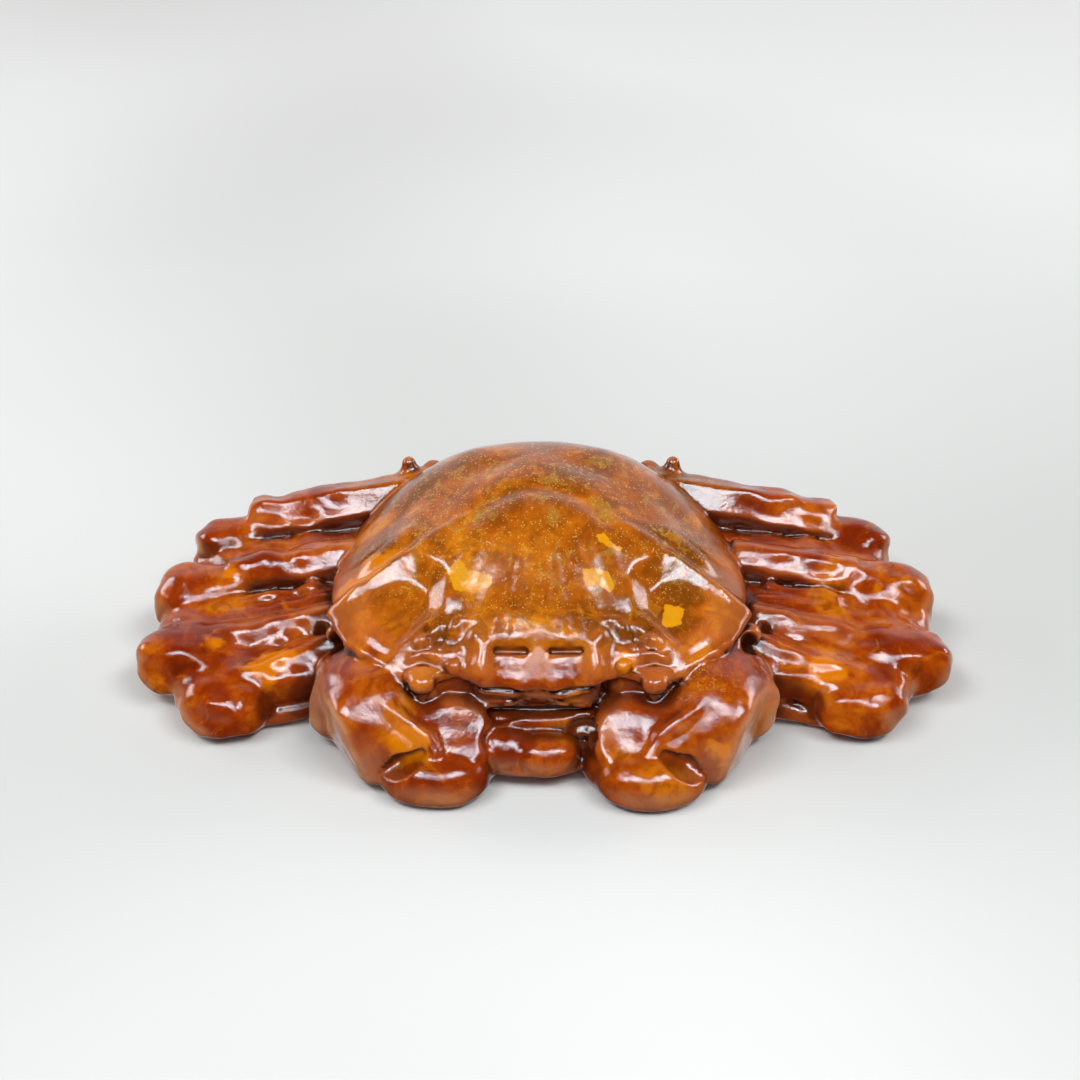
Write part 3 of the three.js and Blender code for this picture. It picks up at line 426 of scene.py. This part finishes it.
# ---------------------------------------------------------------- the mesh
def biggest_part(V, Q):
    "the largest connected skin"
    lab = np.arange(len(V))
    e = np.concatenate([Q[:, [0, 1]], Q[:, [1, 2]], Q[:, [2, 3]], Q[:, [3, 0]]])
    while True:
        new = lab.copy()
        m = np.minimum(lab[e[:, 0]], lab[e[:, 1]])
        np.minimum.at(new, e[:, 0], m)
        np.minimum.at(new, e[:, 1], m)
        new = new[new]
        new = new[new]
        if (new == lab).all():
            break
        lab = new
    ids, counts = np.unique(lab[Q[:, 0]], return_counts=True)
    keep = lab == ids[counts.argmax()]
    idx = np.cumsum(keep) - 1
    return V[keep], idx[Q[keep[Q[:, 0]]]]


def normals(V, e=0.05):
    f = build(V)
    g = np.stack([(build(V + np.array(d) * e) - f) / e for d in ((1, 0, 0), (0, 1, 0), (0, 0, 1))], 1)
    return g / np.maximum(np.linalg.norm(g, axis=1), 1e-6)[:, None]


STEP = 0.47
V, Q = mesh(STEP, verbose=False)
V = project(V)
V, Q = biggest_part(V, Q)
N = normals(V)
V[:, 2] = np.maximum(V[:, 2], 0.0)


def closed_in(d):
    "how far the form closes in on a point at the distance d from it"
    return np.clip((d - build(V + N * d)) / d, 0, 1)


# how closed in the surface is at three distances; crease, hollow and wide are used to paint shade into the colour
crease = closed_in(0.7)
hollow = closed_in(2.4)
wide = closed_in(6.0)
thin = np.clip(-build(V - N * 3.5) / 3.5, 0, 1)
# flanks that face outward or down, where the light comes through
away = N[:, 0] * np.sign(V[:, 0]) * sstep(18, 26, np.abs(V[:, 0])) - 0.55 * N[:, 1] * sstep(-8, -18, V[:, 1])
rim = sstep(0.15, 1.05, away - 0.55 * np.maximum(N[:, 2], 0) - 0.1 * np.minimum(N[:, 2], 0)) * sstep(15, 12, V[:, 2])

FLAKES = [
    [(-12.6, -2.6), (-10.9, -1.3), (-9.7, -3.3), (-6.9, -4.2), (-6.2, -5.3), (-9.2, -6.0), (-11.6, -5.3)],
    [(5.0, -3.4), (8.6, -3.5), (9.5, -5.1), (8.6, -5.9), (7.0, -5.2), (5.5, -5.6)],
    [(15.9, -5.2), (18.6, -5.6), (18.0, -7.8), (16.6, -8.2), (15.4, -8.4)],
    [(6.9, 0.7), (8.2, 1.5), (8.9, 0.4), (10.6, 0.1), (10.2, -0.5), (7.4, -0.1)],
]
# patches of clearer amber, painted a brighter orange as if light shone through them (painted glow): x, y, z, size
CLEAR_GLOW_PATCHES = [(-22.6, 1.6, 20.4, 2.6), (-25.6, 0.4, 18.4, 2.0), (10.4, -13.4, 15.4, 1.3), (-36.6, -5.4, 8.0, 2.6), (38.0, -6.0, 7.8, 2.4),
         (-46.0, -1.6, 8.2, 2.2), (47.4, 8.8, 9.0, 2.4), (-16.8, -21.4, 8.4, 2.0), (22.6, -20.0, 7.0, 1.6), (-44.0, 9.8, 10.4, 2.2)]

X, Y, Z = V.T
flake = np.full(len(V), 9.0)
for pts in FLAKES:
    flake = np.minimum(flake, inside(X, Y, pts))
flake = np.where(Z > 14, flake, 9.0)
glow = np.zeros(len(V))
for gx, gy, gz, r in CLEAR_GLOW_PATCHES:
    glow = np.maximum(glow, np.exp(-0.5 * (((X - gx) / r) ** 2 + ((Y - gy) / (0.7 * r)) ** 2 + ((Z - gz) / r) ** 2)))
up = sstep(0.1, 0.7, N[:, 2])
upper = sstep(13, 19, Z) * sstep(31, 25, np.abs(X))
dust = up * sstep(15, 22, Z) * (0.35 + 1.4 * gau(X, Y, -2, 5, 17, 9))
dust += 0.5 * up * gau(X, Y, 21, -14, 4, 4) + 0.2 * gau(X, Y, -16, -16, 4, 4)

V[:, 1] += CENTRE_Y
me = bpy.data.meshes.new("amber_crab_surface")
me.vertices.add(len(V))
me.vertices.foreach_set("co", (V / 1000).astype(np.float32).ravel())
me.loops.add(Q.size)
me.loops.foreach_set("vertex_index", Q.astype(np.int32).ravel())
me.polygons.add(len(Q))
me.polygons.foreach_set("loop_start", np.arange(0, Q.size, 4, dtype=np.int32))
me.polygons.foreach_set("loop_total", np.full(len(Q), 4, np.int32))
me.polygons.foreach_set("use_smooth", np.ones(len(Q), bool))
me.update()
me.validate()
for name, values in dict(crease=crease, hollow=hollow, wide=wide, thin=thin, flake=flake, dust=dust, upper=upper, rim=rim, glow=glow).items():
    me.attributes.new(name, "FLOAT", "POINT").data.foreach_set("value", values.astype(np.float32))
crab = bpy.data.objects.new("amber_crab_carving", me)
bpy.context.collection.objects.link(crab)


# ---------------------------------------------------------------- materials
class Nodes:
    "short names for wiring a material"

    def __init__(self, name):
        self.mat = bpy.data.materials.new(name)
        self.mat.use_nodes = True
        self.nt = self.mat.node_tree
        self.p = self.nt.nodes["Principled BSDF"]
        self.out = self.nt.nodes["Material Output"]

    def node(self, kind, **settings):
        n = self.nt.nodes.new("ShaderNode" + kind)
        for k, v in settings.items():
            setattr(n, k, v)
        return n

    def to(self, a, b):
        self.nt.links.new(a, b)

    def put(self, socket, value):
        if isinstance(value, bpy.types.NodeSocket):
            self.to(value, socket)
        else:
            socket.default_value = value

    def attr(self, name):
        return self.node("Attribute", attribute_name=name).outputs["Fac"]

    def place(self, scale=(1000, 1000, 1000), turn=(0, 0, 0)):
        m = self.node("Mapping")
        m.inputs["Scale"].default_value = scale
        m.inputs["Rotation"].default_value = turn
        self.to(self.node("TexCoord").outputs["Object"], m.inputs["Vector"])
        return m.outputs["Vector"]

    def noise(self, where, scale, detail=3.0, rough=0.5, twist=0.0):
        n = self.node("TexNoise")
        self.to(where, n.inputs["Vector"])
        for k, v in (("Scale", scale), ("Detail", detail), ("Roughness", rough), ("Distortion", twist)):
            n.inputs[k].default_value = v
        return n.outputs["Fac"]

    def span(self, value, a, b, c=0.0, d=1.0, smooth=True):
        n = self.node("MapRange", interpolation_type="SMOOTHSTEP" if smooth else "LINEAR")
        self.put(n.inputs["Value"], value)
        for k, v in (("From Min", a), ("From Max", b), ("To Min", c), ("To Max", d)):
            n.inputs[k].default_value = v
        return n.outputs["Result"]

    def math(self, op, a, b=0.0, clamp=False):
        n = self.node("Math", operation=op, use_clamp=clamp)
        self.put(n.inputs[0], a)
        self.put(n.inputs[1], b)
        return n.outputs[0]

    def mix(self, fac, a, b, how="MIX"):
        n = self.node("Mix", data_type="RGBA", blend_type=how)
        self.put(n.inputs[0], fac)
        self.put(n.inputs[6], a if isinstance(a, bpy.types.NodeSocket) else (*a, 1))
        self.put(n.inputs[7], b if isinstance(b, bpy.types.NodeSocket) else (*b, 1))
        return n.outputs[2]

    def ramp(self, value, stops):
        n = self.node("ValToRGB")
        self.to(value, n.inputs["Fac"])
        els = n.color_ramp.elements
        while len(els) < len(stops):
            els.new(0.5)
        for e, (at, col) in zip(els, stops):
            e.position = at
            e.color = (*col, 1)
        return n.outputs["Color"]


def amber():
    n = Nodes("amber")
    where = n.place()
    clouds = n.noise(where, 0.085, 4.0, 0.6, 0.8)
    veins = n.noise(where, 0.22, 5.0, 0.62, 1.6)
    fine = n.noise(where, 0.6, 5.0, 0.6, 0.3)
    c = n.ramp(clouds, [(0.37, (0.10, 0.010, 0.001)), (0.44, (0.28, 0.036, 0.001)), (0.51, (0.52, 0.090, 0.002)), (0.58, (0.73, 0.170, 0.003)), (0.65, (0.98, 0.300, 0.005))])
    c = n.mix(n.span(veins, 0.50, 0.62, 0, 0.6), c, (0.19, 0.020, 0.002))
    c = n.mix(n.span(veins, 0.44, 0.34, 0, 0.5), c, (0.95, 0.28, 0.006))
    c = n.mix(n.span(fine, 0.46, 0.62, 0, 0.35), c, (0.24, 0.030, 0.003))
    c = n.mix(n.span(n.attr("upper"), 0, 1, 0, 0.26), c, (0.68, 0.215, 0.010))
    c = n.mix(n.span(n.attr("upper"), 1, 0, 0, 0.42), c, (0.42, 0.032, 0.001))
    # painted glow: a lighter warm orange where the limbs are thin, as if light shone through them
    c = n.mix(n.span(n.attr("thin"), 0.75, 0.35, 0, 0.35), c, (0.72, 0.20, 0.05))
    # olive-gold blotches
    blot = n.math("MULTIPLY", n.span(n.noise(where, 0.32, 6.0, 0.62, 0.6), 0.56, 0.63), n.span(n.attr("dust"), 0.3, 1.2, 0, 0.7))
    c = n.mix(blot, c, (0.52, 0.23, 0.03))
    # flakes
    edge = n.math("ADD", n.attr("flake"), n.span(n.noise(where, 1.6, 2.0), 0.3, 0.7, -0.12, 0.12, False))
    fl = n.span(edge, 0.05, -0.12)
    c = n.mix(fl, c, n.mix(n.noise(where, 0.8, 2.0), (1.0, 0.30, 0.0), (1.0, 0.46, 0.01)))
    # painted glow: a brighter orange in the patches of clearer amber, as if light shone through them
    gl = n.math("MULTIPLY", n.span(n.math("ADD", n.attr("glow"), n.span(n.noise(where, 0.35, 4.0), 0.3, 0.7, -0.3, 0.3, False)), 0.30, 0.62), 0.85)
    c = n.mix(gl, c, (0.95, 0.25, 0.0))
    # dust
    v = n.node("TexVoronoi", feature="F1")
    n.to(where, v.inputs["Vector"])
    v.inputs["Scale"].default_value = 2.7
    speck = n.math("MULTIPLY", n.span(v.outputs["Distance"], 0.36, 0.20), n.span(n.attr("dust"), 0.0, 0.8, 0, 0.9))
    speck = n.math("MULTIPLY", speck, n.span(n.noise(where, 0.9, 5.0, 0.7), 0.47, 0.56))
    c = n.mix(speck, c, (0.88, 0.44, 0.08))
    crumbs = n.math("MULTIPLY", n.span(n.noise(where, 1.3, 8.0, 0.78), 0.565, 0.605), n.span(n.noise(where, 0.16, 3.0, 0.6), 0.47, 0.58))
    crumbs = n.math("MULTIPLY", crumbs, n.span(n.attr("dust"), 0.0, 0.8, 0, 0.75))
    c = n.mix(crumbs, c, (0.74, 0.40, 0.07))
    # painted shade: darker brown where the form closes in over a wide span
    c = n.mix(n.span(n.attr("wide"), 0.15, 0.75, 0, 0.85), c, (0.13, 0.018, 0.003))
    # pale glow on the outer flanks
    c = n.mix(n.math("MULTIPLY", n.attr("rim"), n.span(n.noise(where, 0.3, 3.0), 0.3, 0.7, 0.45, 0.9)), c, (0.90, 0.44, 0.22))
    # painted shade: dark lines in creases and dark hollows, where the form closes in
    dark = n.math("ADD", n.span(n.attr("crease"), 0.35, 0.9, 0, 0.6), n.span(n.attr("hollow"), 0.35, 0.95, 0, 0.6), True)
    c = n.mix(dark, c, (0.07, 0.010, 0.003))
    p = n.p.inputs
    n.to(c, p["Base Color"])
    n.to(n.span(n.noise(where, 0.5, 4.0, 0.6), 0.3, 0.75, 0.07, 0.16), p["Roughness"])
    p["IOR"].default_value = 1.54
    p["Transmission Weight"].default_value = TRANS
    p["Subsurface Weight"].default_value = 0.3
    p["Subsurface Radius"].default_value = (1.0, 0.35, 0.1)
    p["Subsurface Scale"].default_value = 0.004
    bump = n.node("Bump")
    bump.inputs["Strength"].default_value = 0.35
    bump.inputs["Distance"].default_value = 0.0002
    n.to(n.noise(where, 0.9, 6.0, 0.6), bump.inputs["Height"])
    n.to(bump.outputs["Normal"], p["Normal"])
    a = n.node("VolumeAbsorption")
    a.inputs["Color"].default_value = (0.82, 0.40, 0.03, 1)
    a.inputs["Density"].default_value = 110.0
    n.to(a.outputs["Volume"], n.out.inputs["Volume"])
    return n.mat


def paper():
    n = Nodes("studio_floor")
    where = n.place((1, 1, 1))
    sep = n.node("SeparateXYZ")
    n.to(where, sep.inputs[0])
    # painted shade: the floor is darker towards the camera and lighter behind the object
    far = n.span(sep.outputs["Y"], -0.12, 0.12, -0.15, 0.15, False)
    n.to(n.ramp(n.math("ADD", n.noise(where, 3.0, 2.0), far), [(0.35, (0.420, 0.380, 0.346)), (0.65, (0.715, 0.652, 0.602))]), n.p.inputs["Base Color"])
    n.p.inputs["Roughness"].default_value = 0.55
    return n.mat


TRANS = 0.38
me.materials.append(amber())
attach(crab, "root")
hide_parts("amber_crab")

# ---------------------------------------------------------------- floor, light and camera
fm = bpy.data.meshes.new("studio_floor")
fm.from_pydata([(-3, -3, 0), (3, -3, 0), (3, 3, 0), (-3, 3, 0)], [], [(0, 1, 2, 3)])
floor = bpy.data.objects.new("studio_floor", fm)
bpy.context.collection.objects.link(floor)
fm.materials.append(paper())
floor.visible_glossy = False

scene = bpy.context.scene
scene.view_settings.view_transform = "Standard"
scene.world = bpy.data.worlds.new("studio")
scene.world.use_nodes = True
wt = scene.world.node_tree
bg = wt.nodes["Background"]
bg.inputs["Color"].default_value = (0.95, 0.97, 1.0, 1)
# the room is dark towards the camera side and bright behind the object
coord, split = wt.nodes.new("ShaderNodeTexCoord"), wt.nodes.new("ShaderNodeSeparateXYZ")
fade = wt.nodes.new("ShaderNodeMapRange")
fade.interpolation_type = "SMOOTHSTEP"
for k, v in (("From Min", 0.3), ("From Max", 0.95), ("To Min", 0.02), ("To Max", 0.85)):
    fade.inputs[k].default_value = v
wt.links.new(coord.outputs["Generated"], split.inputs[0])
wt.links.new(split.outputs["Y"], fade.inputs["Value"])
wt.links.new(fade.outputs["Result"], bg.inputs["Strength"])


def softbox(name, place, target, wide, deep, watts, colour=(1, 1, 1)):
    light = bpy.data.lights.new(name, "AREA")
    light.shape = "RECTANGLE"
    light.size, light.size_y, light.energy, light.color = wide, deep, watts, colour
    o = bpy.data.objects.new(name, light)
    bpy.context.collection.objects.link(o)
    o.location = place
    o.rotation_mode = "QUATERNION"
    o.rotation_quaternion = (Vector(target) - Vector(place)).to_track_quat("-Z", "Y")
    return o


for s in (-1, 1):
    softbox("window_%s" % ("left" if s < 0 else "right"), (s * 0.352, -0.364, 0.780), (0, 0, 0), 0.46, 0.22, 6.2, (0.80, 0.92, 1.0))
for s in (-1, 1):
    softbox("wall_%s" % ("left" if s < 0 else "right"), (s * 0.83, 0.36, 0.34), (0, 0, 0), 0.50, 0.26, 3.0, (0.93, 0.95, 1.0))
softbox("window_middle", (0.0, -0.493, 0.789), (0, 0, 0), 0.28, 0.14, 1.5, (0.80, 0.92, 1.0))
softbox("window_low", (0.0, -0.66, 0.64), (0, 0, 0), 0.24, 0.14, 0.95, (0.80, 0.92, 1.0))
softbox("overhead", (0.0, 0.1, 1.1), (0, 0, 0), 0.8, 0.8, 0.3, (1.0, 0.95, 0.88)).visible_glossy = False

cam = bpy.data.cameras.new("camera")
cam.sensor_width = 36
cam.lens = 74.17
cam.shift_x = -3 / 1080
cam.clip_start = 0.01
cam_ob = bpy.data.objects.new("camera", cam)
bpy.context.collection.objects.link(cam_ob)
cam_ob.location = (0, (-239.59 + CENTRE_Y) / 1000, 0.19254)
cam_ob.rotation_euler = (math.radians(90 - 34.889), 0, 0)
scene.camera = cam_ob
